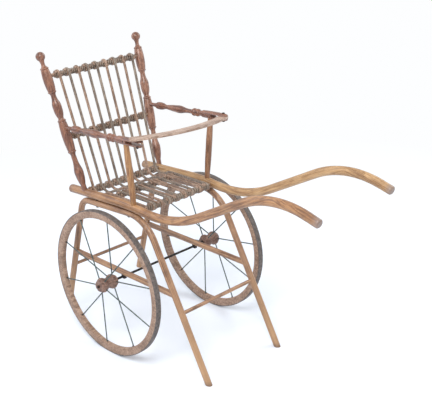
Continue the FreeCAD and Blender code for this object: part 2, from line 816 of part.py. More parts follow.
def make_infill_canes():
    """Short canes in every other gap between the long ones, over the front half of the seat."""
    radius = size("infill_radius").value
    gaps = int(size("cane_count").value) - 1
    lift = size("rail_radius").value + size("cane_gap").value + radius
    rear_x = size("seat_middle_x").value - lift
    front_x = size("seat_front_x").value + lift
    rear_z = size("seat_middle_z").value + lift
    front_z = size("seat_front_z").value + lift
    solids = []
    for gap in range(1, gaps, 2):
        y = seat_cane_y(gap + 0.5)
        start = FreeCAD.Vector(rear_x, y, rear_z)
        end = FreeCAD.Vector(front_x, y, front_z)
        solids.append(Part.makeCylinder(radius, (end - start).Length, start, end - start))
    canes = doc.addObject("Part::Feature", "seat_infill_canes")
    canes.Shape = Part.makeCompound(solids)
    canes.Placement = FreeCAD.Placement()
    register(canes, "seat_infill_canes")


# ---------------------------------------------------------------------------------------------
# Arms, posts and the guard bar
# ---------------------------------------------------------------------------------------------

def arm_axis_z(x):
    rear_x = stile_point(1, size("arm_rear_z"))[0]
    return size("arm_rear_z") + (x - rear_x) * tangent(size("arm_rise"))


def arm_y():
    return stile_point(1, size("arm_rear_z"))[1]


def arm_length():
    rear_x = stile_point(1, size("arm_rear_z"))[0]
    return (size("arm_tip_x") - rear_x) / cosine(size("arm_rise"))


def arm_profile():
    """Stations along an arm, from inside the stile to its rounded tip."""
    length = arm_length()
    barrel = size("arm_barrel_radius")
    turned_length = length - size("fork_depth") - size("fork_root")
    return outline("arm", ARM_OUTLINE, turned_length / ARM_DRAWN_LENGTH) + [
        (turned_length + size("arm_shoulder"), barrel - 1.0, 1.0),
        (length - 8.0, barrel - 1.0, 1.0),
        (length, barrel * 0.45, 2.0),
    ]


def arm_turn():
    """The rotation that takes +Z to the run of an arm."""
    rise = math.radians(size("arm_rise").value)
    return turn_to(FreeCAD.Vector(math.cos(rise), 0, math.sin(rise)))


def guard_pin_point():
    x = size("arm_tip_x") - size("guard_pin_inset")
    return (x, arm_y(), arm_axis_z(x))


def guard_roll():
    """Degrees that the guard bar is tipped to lie on top of the right arm."""
    lift = (size("arm_barrel_radius") + size("guard_thickness") / 2 + size("guard_clearance")) - 0.3
    return Size(math.degrees(math.atan2(lift.value, 2 * arm_y().value)))


def guard_turn():
    """The rotation of the guard bar: it rises with the arms and is tipped to the right."""
    pitch = FreeCAD.Rotation(FreeCAD.Vector(0, 1, 0), -size("arm_rise").value)
    roll = FreeCAD.Rotation(FreeCAD.Vector(1, 0, 0), -guard_roll().value)
    return pitch.multiply(roll)


def fork_slot(side, sign):
    """The open slot in the tip of an arm, wider than the guard bar."""
    height = size("guard_thickness") + 2 * size("guard_clearance")
    depth = size("fork_depth")
    width = 4 * size("arm_barrel_radius")
    slot = block(f"fork_slot_{side}", depth * 2, width, height)
    turn = guard_turn() if sign > 0 else FreeCAD.Rotation(FreeCAD.Vector(0, 1, 0),
                                                          -size("arm_rise").value)
    pin_x, pin_y, pin_z = guard_pin_point()
    back = depth - size("guard_pin_inset")
    centre = vector(pin_x, sign * pin_y, pin_z)
    corner = centre - turn.multVec(vector(back, width / 2, height / 2))
    slot.Placement = FreeCAD.Placement(corner, turn)
    return slot


def pin_hole(label, radius):
    """A round hole about the guard bar's pin, right through the left arm."""
    reach = 3 * size("arm_barrel_radius")
    hole = rod(label, radius, 2 * reach)
    start = vector(*guard_pin_point()) - guard_turn().multVec(vector(0, 0, reach))
    hole.Placement = FreeCAD.Placement(start, guard_turn())
    return hole


def make_arm(side, sign):
    blank = turned(f"arm_{side}_blank", arm_profile())
    rear_x = stile_point(1, size("arm_rear_z"))[0]
    place(blank, (rear_x, sign * arm_y(), size("arm_rear_z")), arm_turn())
    tools = [PARTS[f"stile_{side}"], fork_slot(side, sign)]
    if sign > 0:
        tools.append(pin_hole("guard_pin_hole", size("guard_pin_radius")))
    arm = without(f"arm_{side}_cut", blank, tools)
    return register(arm, f"arm_{side}")


def post_foot_z():
    """Height at which an arm post starts, inside its shaft."""
    return shaft_height(size("shaft_bow_x")) - size("post_root")


def post_profile():
    """Stations up an arm post, from inside the shaft to inside the arm."""
    length = arm_axis_z(size("post_foot_x")) - post_foot_z() + 2 * size("post_root")
    ends = size("post_end_radius")
    swell = size("post_swell_radius")
    return [
        (Size(0.0), ends, 0),
        (length * 0.12, ends, 0),
        (length * 0.5, swell, 0.8),
        (length * 0.88, ends, 0.8),
        (length, ends, 0),
    ]


def make_post(side, sign):
    foot_z = post_foot_z()
    out = arm_y() - half_spacing()
    blank = turned(f"arm_post_{side}_blank", post_profile())
    direction = vector(0, sign * out, arm_axis_z(size("post_foot_x")) - foot_z)
    place(blank, (size("post_foot_x"), sign * half_spacing(), foot_z), turn_to(direction))
    carriers = [PARTS[f"shaft_{side}"], PARTS[f"arm_{side}"]]
    post = without(f"arm_post_{side}_cut", blank, carriers)
    return register(post, f"arm_post_{side}")


def guard_outline():
    """Corners of the bent board in its own plane, with the pin at 0, 0, and their bulges."""
    half_span = arm_y().value + size("guard_overhang").value / 2
    bow = size("guard_bow").value
    half_width = size("guard_width").value / 2
    radius = (half_span ** 2 + bow ** 2) / (2 * bow)
    sweep = math.asin(half_span / radius)
    outer = radius + half_width
    inner = radius - half_width

    def corner(distance, angle, past_end=0.0):
        x = distance * math.cos(angle) - radius * math.cos(sweep)
        y = distance * math.sin(angle) - half_span
        return (x - past_end * math.sin(sweep), y + past_end * math.copysign(math.cos(sweep), angle))

    corners = [
        corner(outer, -sweep),
        corner(outer, sweep),
        corner(radius, sweep, half_width),
        corner(inner, sweep),
        corner(inner, -sweep),
        corner(radius, -sweep, half_width),
    ]
    lift = 1 - math.cos(sweep)
    tip = half_width * QUARTER_SAGITTA
    return corners, [outer * lift, tip, tip, -inner * lift, tip, tip]


def make_guard_bar():
    """A flat board bent to an arc, with rounded ends; its own origin is at the pin."""
    body = new_body("guard_bar_blank")
    sketch = new_sketch(body, "XY_Plane", "outline")
    closed_outline(sketch, *guard_outline())
    pad = body.newObject("PartDesign::Pad", "guard_bar_pad")
    pad.Profile = sketch
    bind(pad, "Length", size("guard_thickness"))
    pad.Midplane = True
    doc.recompute()
    place(body, guard_pin_point(), guard_turn())
    hole = pin_hole("guard_bar_hole", size("guard_pin_radius") + size("guard_pin_play"))
    register(without("guard_bar_cut", body, [hole]), "guard_bar")


def make_guard_pin():
    """The pin of the guard bar, with a round head above and below the fork."""
    shank = size("guard_pin_radius")
    head = size("guard_head_radius")
    tall = size("guard_head_height")
    reach = size("arm_barrel_radius") - 0.4
    profile = [
        (-reach - tall, head * 0.4, 0),
        (-reach, head, 0.8),
        (-reach, shank, 0),
        (reach, shank, 0),
        (reach, head, 0),
        (reach + tall, head * 0.4, 0.8),
    ]
    blank = turned("guard_pin_blank", profile)
    place(blank, guard_pin_point(), guard_turn())
    register(without("guard_pin_cut", blank, [PARTS["arm_left"]]), "guard_bar_pin")


# ---------------------------------------------------------------------------------------------
# Wheels and axle
# ---------------------------------------------------------------------------------------------

def along_y(sign):
    """The rotation that takes +Z to the outside of a wheel."""
    return FreeCAD.Rotation(FreeCAD.Vector(1, 0, 0), -90 * sign)


def wheel_y():
    return half_spacing() + size("wheel_outset")


def make_axle():
    """One rod with a collar inside each wheel; it is threaded for a nut outside it."""
    inner = wheel_y() - size("hub_length") / 2 - size("side_play")
    collar = inner - size("collar_length")
    nut = wheel_y() + size("hub_length") / 2 + size("side_play")
    end = nut + size("nut_length") + size("thread_length")
    thin = size("axle_radius")
    thick = size("collar_radius")
    profile = [(-end, thin, 0), (-inner, thin, 0), (-inner, thick, 0), (-collar, thick, 0),
               (-collar, thin, 0), (collar, thin, 0), (collar, thick, 0), (inner, thick, 0),
               (inner, thin, 0), (end, thin, 0)]
    axle = turned("axle_turning", profile)
    place(axle, (Size(0.0), Size(0.0), axle_z()), along_y(1))
    register(axle, "axle")


def make_axle_nut(side, sign):
    nut = doc.addObject("Part::Prism", f"axle_nut_{side}_blank")
    nut.Polygon = 6
    bind(nut, "Circumradius", size("nut_radius"))
    bind(nut, "Height", size("nut_length"))
    start = wheel_y() + size("hub_length") / 2 + size("side_play")
    place(nut, (Size(0.0), sign * start, axle_z()), along_y(sign))
    register(without(f"axle_nut_{side}_cut", nut, [PARTS["axle"]]), f"axle_nut_{side}")


def make_axle_clip(side, sign):
    """An iron strap round the axle, up against the side rail."""
    width = size("clip_width")
    depth = size("clip_depth")
    strap = block(f"axle_clip_{side}_blank", width, depth, width + size("clip_lap"))
    place(strap, (-width / 2, sign * half_spacing() - depth / 2, axle_z() - width / 2))
    carriers = [PARTS["axle"], PARTS[f"side_rail_{side}"]]
    clip = without(f"axle_clip_{side}_cut", strap, carriers)
    register(clip, f"axle_clip_{side}")


def make_hub(side, sign):
    half = size("hub_length") / 2
    band = half - size("hub_end_length")
    bulge = size("hub_bulge_offset")
    shoulder = bulge - size("hub_bulge_length")
    thick = size("hub_bulge_radius")
    end = size("hub_end_radius")
    profile = [
        (-half, end, 0),
        (-band, end + 1.5, 0.5),
        (-bulge, thick, 1.2),
        (-shoulder, thick - 1.5, 0.8),
        (Size(0.0), size("hub_waist_radius"), -0.5),
        (shoulder, thick - 1.5, -0.5),
        (bulge, thick, 0.8),
        (band, end + 1.5, 1.2),
        (half, end, 0.5),
    ]
    hub = turned(f"hub_{side}", profile, bore=size("axle_radius") + size("hub_clearance"))
    place(hub, (Size(0.0), sign * wheel_y(), axle_z()), along_y(sign))
    return register(hub, f"hub_{side}")


def make_rim(side, sign):
    outer = size("wheel_radius") - size("tyre_thickness")
    inner = outer - size("rim_depth")
    half = size("rim_width") / 2
    edge = size("rim_rounding")
    body = new_body(f"rim_{side}")
    sketch = new_sketch(body, "XZ_Plane", "section")
    corners = [(inner, -half + edge), (inner + edge, -half), (outer, -half),
               (outer, half), (inner + edge, half), (inner, half - edge)]
    swell = edge * QUARTER_SAGITTA
    closed_outline(sketch, corners, [swell, 0, 0, 0, swell, 0])
    revolved(body, sketch)
    place(body, (Size(0.0), sign * wheel_y(), axle_z()), along_y(sign))
    doc.recompute()
    return register(body, f"rim_{side}")


def make_tyre(side, sign):
    outer = size("wheel_radius")
    half = size("rim_width") / 2
    tyre = turned(f"tyre_{side}", [(-half, outer, 0), (half, outer, 0)],
                  bore=outer - size("tyre_thickness"))
    place(tyre, (Size(0.0), sign * wheel_y(), axle_z()), along_y(sign))
    return register(tyre, f"tyre_{side}")


def make_spokes(side, sign):
    """Wire spokes from alternate swellings of the hub to the middle of the rim."""
    count = int(size("spoke_count").value)
    turn = size(f"{side}_spoke_turn").value
    inner = size("hub_bulge_radius") - size("spoke_root")
    outer = size("wheel_radius") - size("tyre_thickness") - size("rim_depth") / 2
    wires = []
    for number in range(count):
        outside = 1 if number % 2 == 0 else -1
        angle = math.radians(turn + 360.0 * number / count)
        radial = FreeCAD.Vector(math.cos(angle), 0, math.sin(angle))
        offset = outside * size("hub_bulge_offset").value
        start = radial * inner.value + vector(0, sign * offset, 0)
        run = radial * outer.value - start
        wire = rod(f"spoke_{side}_{number + 1}", size("spoke_radius"), run.Length)
        centre = vector(0, sign * wheel_y(), axle_z())
        wire.Placement = FreeCAD.Placement(centre + start, turn_to(run))
        wires.append(wire)
    bundle = doc.addObject("Part::Compound", f"spokes_{side}_blank")
    bundle.Links = wires
    cut = without(f"spokes_{side}_cut", bundle, [PARTS[f"hub_{side}"], PARTS[f"rim_{side}"]])
    return register(cut, f"spokes_{side}")


# ---------------------------------------------------------------------------------------------
# Whole cart
# ---------------------------------------------------------------------------------------------

def build():
    for side, sign in SIDES.items():
        make_shaft(side, sign)
        make_leg_frame(side, sign)
        make_side_rail(side, sign)
        make_frame_bolts(side, sign)
        make_stile(side, sign)
    make_stretchers()
    make_back_rails()
    make_canes()
    make_infill_canes()
    make_axle()
    for side, sign in SIDES.items():
        make_arm(side, sign)
        make_post(side, sign)
        make_axle_nut(side, sign)
        make_axle_clip(side, sign)
        make_hub(side, sign)
        make_rim(side, sign)
        make_tyre(side, sign)
        make_spokes(side, sign)
    make_guard_bar()
    make_guard_pin()
    doc.recompute()


def check():
    for thing in doc.Objects:
        if "Invalid" in thing.State or "Error" in thing.State:
            raise RuntimeError(f"{thing.Label} did not compute: {thing.State}")
    for label, piece in PARTS.items():
        if piece.Shape.isNull() or not piece.Shape.isValid() or not piece.Shape.Solids:
            raise RuntimeError(f"{label} has no valid solid")


def export():
    """Writes each sub-part with the origin under the middle of the whole cart."""
    bounds = FreeCAD.BoundBox()
    for piece in PARTS.values():
        bounds.add(piece.Shape.optimalBoundingBox(False, False))
    shift = FreeCAD.Vector(-(bounds.XMin + bounds.XMax) / 2, 0, 0)
    os.makedirs("parts", exist_ok=True)
    for label, piece in PARTS.items():
        shape = piece.Shape.copy()
        shape.translate(shift)
        shape.exportStep(os.path.join("parts", f"{label}.step"))
    print(f"{len(PARTS)} sub-parts, moved {shift.x:.3f} along X, {bounds}")


fill_sheet()
build()
check()
export()
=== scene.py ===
"""Looks of a child's push cart of bent and turned wood, on two spoked wheels.

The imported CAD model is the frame. This script gives each of its pieces a procedural finish, adds
the cane bindings, screws and spoke nipples, and sets up the studio. Lengths are in metres.
"""
from __future__ import annotations

import logging
import math
from dataclasses import dataclass
from enum import Enum
from typing import Iterable, Sequence

import bmesh
import bpy
from mathutils import Matrix, Vector


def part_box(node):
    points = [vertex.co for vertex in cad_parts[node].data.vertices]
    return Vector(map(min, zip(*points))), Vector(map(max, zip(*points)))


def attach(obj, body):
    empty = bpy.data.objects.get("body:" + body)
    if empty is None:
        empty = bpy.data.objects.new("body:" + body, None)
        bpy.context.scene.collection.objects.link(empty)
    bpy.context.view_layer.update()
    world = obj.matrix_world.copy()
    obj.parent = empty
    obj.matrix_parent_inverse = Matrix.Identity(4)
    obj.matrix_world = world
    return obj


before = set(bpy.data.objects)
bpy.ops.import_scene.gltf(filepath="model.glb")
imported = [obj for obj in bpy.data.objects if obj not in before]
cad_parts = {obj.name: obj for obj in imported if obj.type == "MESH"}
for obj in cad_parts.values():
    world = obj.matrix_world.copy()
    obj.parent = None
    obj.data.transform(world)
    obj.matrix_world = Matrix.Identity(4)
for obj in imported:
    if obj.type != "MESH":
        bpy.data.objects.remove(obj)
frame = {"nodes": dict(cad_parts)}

logging.basicConfig(level=logging.INFO, format="%(message)s")
LOG = logging.getLogger("cart")

MM = 0.001
Colour = tuple[float, float, float, float]
Span = tuple[float, float, float, float]
Socket = bpy.types.NodeSocket

# Wood pattern. The grain varies this much more slowly along a piece than across it, and its
# broad streaks are this many times as broad as the fine ones
GRAIN_STRETCH = 0.03
BROAD_STREAK = 3.2
SPECK_MM = 3.0
STREAK_STOPS = (0.34, 0.5, 0.66)
COAT_ROUGHNESS = 0.28
# Each span gives the amounts at its two ends, then the two noise values that those stand at
DARK_BANDS: Span = (0.6, 0.0, 0.34, 0.5)
LIGHT_BANDS: Span = (0.0, 0.5, 0.52, 0.66)
LIGHT_WEAR: Span = (0.0, 0.45, 0.5, 0.72)
DARK_PATCHES: Span = (0.6, 0.0, 0.28, 0.45)
DARK_SPECKS: Span = (0.0, 0.8, 0.62, 0.74)

# Metal pattern
PIT_MM = 1.5
PIT_BUMP_MM = 0.12
PIT_BUMP_STRENGTH = 0.4
WORN_STOPS = (0.35, 0.75)

# Floor: its reach, where it starts to turn into the white surroundings, and where it has, in
# metres, and the size of its faint patches
FLOOR_REACH = 12.0
FLOOR_NEAR = 1.0
FLOOR_FAR = 2.4
FLOOR_PATCH_MM = 900.0
WHITE = "FDFEFF"

# Windings: the bare length at each end of a rail, and the fineness of a strand
BARE_RAIL_END = 14.0 * MM
STEPS_PER_TURN = 14


class Grain(Enum):
    """The direction that a piece's wood grain runs in."""

    ALONG_X = (GRAIN_STRETCH, 1.0, 1.0)
    ALONG_Y = (1.0, GRAIN_STRETCH, 1.0)
    ALONG_Z = (1.0, 1.0, GRAIN_STRETCH)


class Side(Enum):
    """The two sides of the cart, with the sign of Y there."""

    LEFT = 1
    RIGHT = -1


def linear(hex_colour: str) -> Colour:
    """Turns an sRGB hex colour into linear RGBA.

    Args:
        hex_colour: Six hex digits with no hash.

    Returns:
        The colour that a shader socket takes.
    """
    channels = [int(hex_colour[start:start + 2], 16) / 255 for start in (0, 2, 4)]
    values = [c / 12.92 if c <= 0.04045 else ((c + 0.055) / 1.055) ** 2.4 for c in channels]
    return (values[0], values[1], values[2], 1.0)


@dataclass(frozen=True)
class WoodFinish:
    """Colours and scales of one kind of wood."""

    name: str
    dark: str
    body: str
    light: str
    stain: str
    roughness: float = 0.45
    grain_mm: float = 2.6
    patch_mm: float = 45.0
    bump_mm: float = 0.25
    coat: float = 0.15


@dataclass(frozen=True)
class MetalFinish:
    """Colours of one kind of metal."""

    name: str
    body: str
    worn: str
    roughness: float = 0.5
    metallic: float = 0.85
    patch_mm: float = 9.0


# Steam-bent hickory under old varnish: honey-brown, darker along its streaks
BENT_HICKORY = WoodFinish("honey_hickory", "5E3F2A", "946741", "B98D63", "4A3226", 0.40, coat=0.3)
# A paler copy of the same hickory for the far shaft: painted light for how that side is lit.
FAR_SIDE_LIT_HICKORY = WoodFinish("far_side_lit_hickory", "765336", "A27B50", "C49F73", "5A4130", 0.42, coat=0.25)
LEG_HICKORY = WoodFinish("brown_hickory", "5E4232", "916B4E", "B8906E", "463328", 0.46, coat=0.2)
# Turned maple with a red-brown varnish that still shines on its swellings
TURNED_MAPLE = WoodFinish("redbrown_maple", "45271D", "6E4331", "99694F", "2C1712", 0.34, coat=0.4)
# A lighter, less red copy of the same maple for the far stile: painted light for how that side is
# lit, not fading.
FAR_SIDE_LIT_MAPLE = WoodFinish("far_side_lit_maple", "52301F", "7C513D", "AB7E67", "38201A", 0.36, coat=0.35)
POST_BIRCH = WoodFinish("amber_birch", "6A4226", "9A6B3D", "B98D5C", "4C3020", 0.4, coat=0.3)
RED_BIRCH = WoodFinish("red_birch", "5E3C26", "875B3B", "A4795A", "452C1E", 0.42, coat=0.25)
# Bare, weathered wood of the wheels
HUB_ELM = WoodFinish("weathered_elm", "42291F", "6E5145", "9A7B6A", "2A1B16", 0.6, 3.4)
RIM_ASH = WoodFinish("bare_ash", "68503F", "93745F", "B59A86", "4F3E33", 0.6)
GUARD_ASH = WoodFinish("bleached_ash", "765A4A", "A28571", "C6AF9F", "644838", 0.5, coat=0.2)
# Rattan, some canes still tan and some weathered grey
RATTAN = WoodFinish("tan_rattan", "523E32", "866852", "B09481", "382A22", 0.46, 2.2, 60.0)
GREY_RATTAN = WoodFinish("grey_rattan", "4C4038", "776759", "A09080", "332B26", 0.5, 2.2, 60.0)
TYRE_IRON = MetalFinish("tyre_iron", "4B4644", "82766F", 0.55, 0.35)
BLACK_IRON = MetalFinish("black_iron", "1C1A1A", "4A4442", 0.5, 0.7)
RUSTY_IRON = MetalFinish("rusty_iron", "4A352C", "7A5A4B", 0.7, 0.3)
SPOKE_STEEL = MetalFinish("dull_steel_wire", "37423F", "6B7775", 0.42, 0.7, 14.0)


@dataclass(frozen=True)
class BentLine:
    """The middle line of a bent rod in the XZ plane: corners in mm, from the axle and the floor.

    Grain follows the rod by its height over this line. Where the rod bends down, the height is
    the larger of the heights over the two runs that meet there, and where it bends up, the
    smaller. The rounding, in mm, softens the change.
    """

    corners: tuple[tuple[float, float], ...]
    bends_up: tuple[bool, ...]
    rounding: float = 30.0


SHAFT_LINE = BentLine(((-253, 505), (35, 523), (249.5, 508), (655, 728), (824, 683)),
                      (False, True, False))
LEG_LINE = BentLine(((-311, 71), (-199.4, 480), (121, 500), (397, 0)), (False, False))


@dataclass(frozen=True)
class Fade:
    """A gradual change of tone along one axis, such as a handle greyed by hands.

    It starts at one place, in metres, and has its full amount at the other.
    """

    axis: str
    start: float
    full: float
    tone: str
    amount: float


class Shader:
    """A small builder for one node material."""

    # The places of a colour Mix node's sockets
    MIX_FACTOR, MIX_FIRST, MIX_SECOND, MIX_RESULT = 0, 6, 7, 2

    def __init__(self, name: str) -> None:
        self.material = bpy.data.materials.new(name)
        self.material.use_nodes = True
        self.tree = self.material.node_tree
        self.surface = self.tree.nodes["Principled BSDF"]

    def add(self, kind: str, **inputs: object) -> bpy.types.Node:
        """Adds a node and fills or links its inputs by name.

        Args:
            kind: The node's type.
            **inputs: Values or output sockets, with spaces in names written as underscores.

        Returns:
            The new node.
        """
        node = self.tree.nodes.new(kind)
        for name, value in inputs.items():
            self.feed(node.inputs[name.replace("_", " ")], value)
        return node

    def feed(self, socket: Socket, value: object) -> None:
        """Links an output socket, or sets a constant, on an input socket.

        Args:
            socket: The input.
            value: The output to link, or the constant.
        """
        if isinstance(value, bpy.types.NodeSocket):
            self.tree.links.new(value, socket)
        else:
            socket.default_value = value

    def coordinates(self, scale: Sequence[float]) -> Socket:
        """Object coordinates stretched by a scale.

        Args:
            scale: One factor for each axis, in cycles for each metre.

        Returns:
            The vector socket.
        """
        source = self.add("ShaderNodeTexCoord")
        mapping = self.add("ShaderNodeMapping", Vector=source.outputs["Object"])
        mapping.inputs["Scale"].default_value = tuple(scale)
        return mapping.outputs["Vector"]

    def noise(self, scale: Sequence[float], detail: float, roughness: float = 0.55) -> Socket:
        """A noise value over object coordinates.

        Args:
            scale: One factor for each axis, in cycles for each metre.
            detail: Octaves of finer noise.
            roughness: How strong the finer noise is.

        Returns:
            The value socket.
        """
        return self.noise_at(self.coordinates(scale), 1.0, detail, roughness)

    def noise_at(self, vector: Socket, scale: float, detail: float, roughness: float) -> Socket:
        """A noise value over given coordinates.

        Args:
            vector: The coordinates.
            scale: The factor that they are multiplied by.
            detail: Octaves of finer noise.
            roughness: How strong the finer noise is.

        Returns:
            The value socket.
        """
        node = self.add("ShaderNodeTexNoise", Vector=vector, Scale=scale, Detail=detail,
                        Roughness=roughness)
        return node.outputs["Fac"]

    def maths(self, operation: str, *values: object) -> Socket:
        """One arithmetic step.

        Args:
            operation: The Math node's operation.
            *values: Sockets or numbers.

        Returns:
            The value socket.
        """
        node = self.tree.nodes.new("ShaderNodeMath")
        node.operation = operation
        for socket, value in zip(node.inputs, values):
            self.feed(socket, value)
        return node.outputs["Value"]

    def along_line(self, line: BentLine) -> Socket:
        """Coordinates that follow a bent rod: across it, along Y, and drawn out along it.

        Args:
            line: The rod's middle line.

        Returns:
            The vector socket, in metres.
        """
        source = self.add("ShaderNodeTexCoord")
        split = self.add("ShaderNodeSeparateXYZ", Vector=source.outputs["Object"])
        axle_x = middle_of("axle").x
        across = None
        for index, (start, end) in enumerate(zip(line.corners, line.corners[1:])):
            run = Vector((end[0] - start[0], end[1] - start[1])).normalized()
            start_x = start[0] * MM + axle_x
            offset = start_x * run.y - start[1] * MM * run.x
            part_x = self.maths("MULTIPLY", split.outputs["X"], -run.y)
            part = self.maths("MULTIPLY_ADD", split.outputs["Z"], run.x, part_x)
            height = self.maths("ADD", part, offset)
            if across is None:
                across = height
                continue
            kind = "SMOOTH_MIN" if line.bends_up[index - 1] else "SMOOTH_MAX"
            across = self.maths(kind, across, height, line.rounding * MM)
        far = self.maths("ADD", split.outputs["X"], split.outputs["Z"])
        slow = self.maths("MULTIPLY", far, GRAIN_STRETCH)
        joined = self.add("ShaderNodeCombineXYZ", X=across, Y=split.outputs["Y"], Z=slow)
        return joined.outputs["Vector"]

    def ramp(self, value: Socket, stops: Sequence[tuple[float, Colour]]) -> Socket:
        """A colour ramp.

        Args:
            value: Where on the ramp to read.
            stops: Two or more places from 0 to 1, each with its colour.

        Returns:
            The colour socket.
        """
        node = self.add("ShaderNodeValToRGB", Fac=value)
        elements = node.color_ramp.elements
        elements[0].position, elements[0].color = stops[0]
        elements[1].position, elements[1].color = stops[-1]
        for position, colour in stops[1:-1]:
            element = elements.new(position)
            element.color = colour
        return node.outputs["Color"]

    def mix(self, amount: Socket, first: Socket, second: Colour) -> Socket:
        """Mixes a colour into another.

        Args:
            amount: The share of the second.
            first: The colour that is there.
            second: The colour that is mixed in.

        Returns:
            The colour socket.
        """
        node = self.tree.nodes.new("ShaderNodeMix")
        node.data_type = "RGBA"
        self.feed(node.inputs[self.MIX_FACTOR], amount)
        self.feed(node.inputs[self.MIX_FIRST], first)
        self.feed(node.inputs[self.MIX_SECOND], second)
        return node.outputs[self.MIX_RESULT]

    def spread(self, value: Socket, low: float, high: float, from_low: float = 0.3,
               from_high: float = 0.7) -> Socket:
        """Maps a value to a range.

        Args:
            value: A noise value or a distance.
            low: The result at the first value.
            high: The result at the second value.
            from_low: The first value.
            from_high: The second value.

        Returns:
            The value socket.
        """
        node = self.add("ShaderNodeMapRange", Value=value, From_Min=from_low, From_Max=from_high,
                        To_Min=low, To_Max=high)
        return node.outputs["Result"]

    def along(self, fade: Fade) -> Socket:
        """How far a fade has come, from 0 to its amount.

        Args:
            fade: The change of tone.

        Returns:
            The value socket.
        """
        source = self.add("ShaderNodeTexCoord")
        split = self.add("ShaderNodeSeparateXYZ", Vector=source.outputs["Object"])
        return self.spread(split.outputs[fade.axis], 0.0, fade.amount, fade.start, fade.full)

    def bump(self, height: Socket, distance_mm: float, strength: float = 0.6) -> Socket:
        """A bump from a height value.

        Args:
            height: The height, from 0 to 1.
            distance_mm: What a height of 1 stands for.
            strength: How much of it shows.

        Returns:
            The normal socket.
        """
        node = self.add("ShaderNodeBump", Height=height, Strength=strength,
                        Distance=distance_mm * MM)
        return node.outputs["Normal"]


def uniform(length_mm: float) -> tuple[float, float, float]:
    """The scale that repeats a pattern once for each length, the same along every axis.

    Args:
        length_mm: The length.

    Returns:
        One factor for each axis, in cycles for each metre.
    """
    factor = 1 / (length_mm * MM)
    return (factor, factor, factor)


def stretched(length_mm: float, grain: Grain) -> tuple[float, float, float]:
    """The scale of a pattern drawn out along the grain.

    Args:
        length_mm: The pattern's length across the grain.
        grain: The direction of the grain.

    Returns:
        One factor for each axis, in cycles for each metre.
    """
    factor = 1 / (length_mm * MM)
    return (factor * grain.value[0], factor * grain.value[1], factor * grain.value[2])


